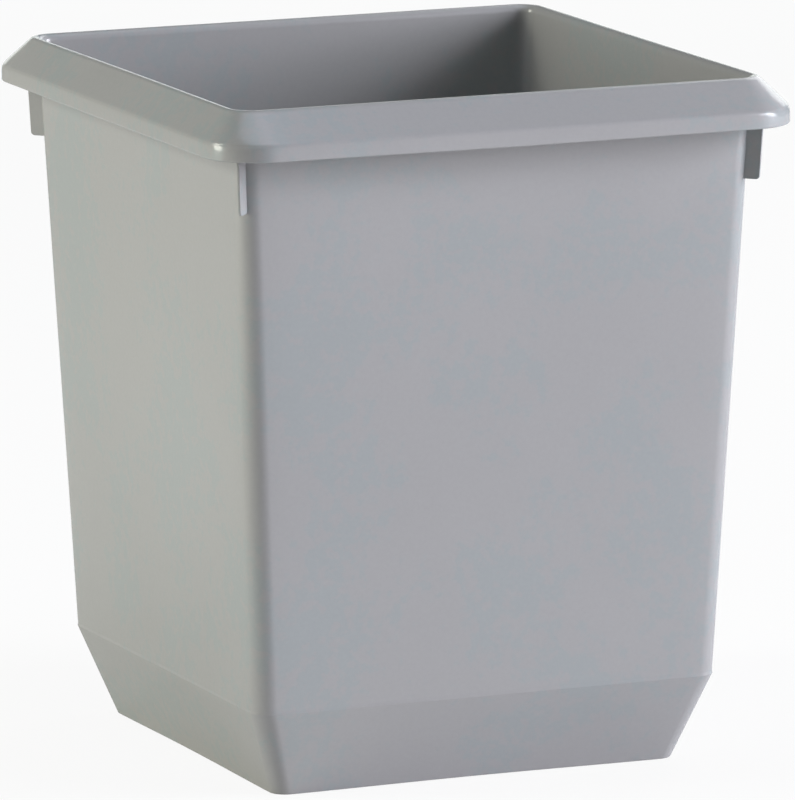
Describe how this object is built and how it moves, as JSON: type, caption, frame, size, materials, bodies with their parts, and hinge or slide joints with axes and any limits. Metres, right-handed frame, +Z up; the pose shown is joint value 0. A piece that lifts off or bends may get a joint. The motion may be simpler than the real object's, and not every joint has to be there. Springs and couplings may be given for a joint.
{
  "type": "wastebasket",
  "caption": "Square tapered open-top office wastebasket with a sloped rim shoulder, a hanging skirt, a tapered lower band and corner nesting lugs.",
  "frame": {"origin": "centre of the flat face the bin rests on", "axes": "+Z up through the middle of the opening, +X to the right, -Y to the front; the rim is deeper from front to back than it is wide"},
  "size_m": [0.308, 0.32, 0.345],
  "materials": {
    "shell_plastic": "semi-matte moulded grey polypropylene"
  },
  "bodies": {
    "root": {"rim_shoulder": "shell_plastic", "rim_skirt": "shell_plastic", "side_walls": "shell_plastic", "lower_walls": "shell_plastic", "base_foot": "shell_plastic", "base_panel": "shell_plastic", "nesting_lug_front_left": "shell_plastic", "nesting_lug_front_right": "shell_plastic", "nesting_lug_back_left": "shell_plastic", "nesting_lug_back_right": "shell_plastic"}
  },
  "joints": []
}
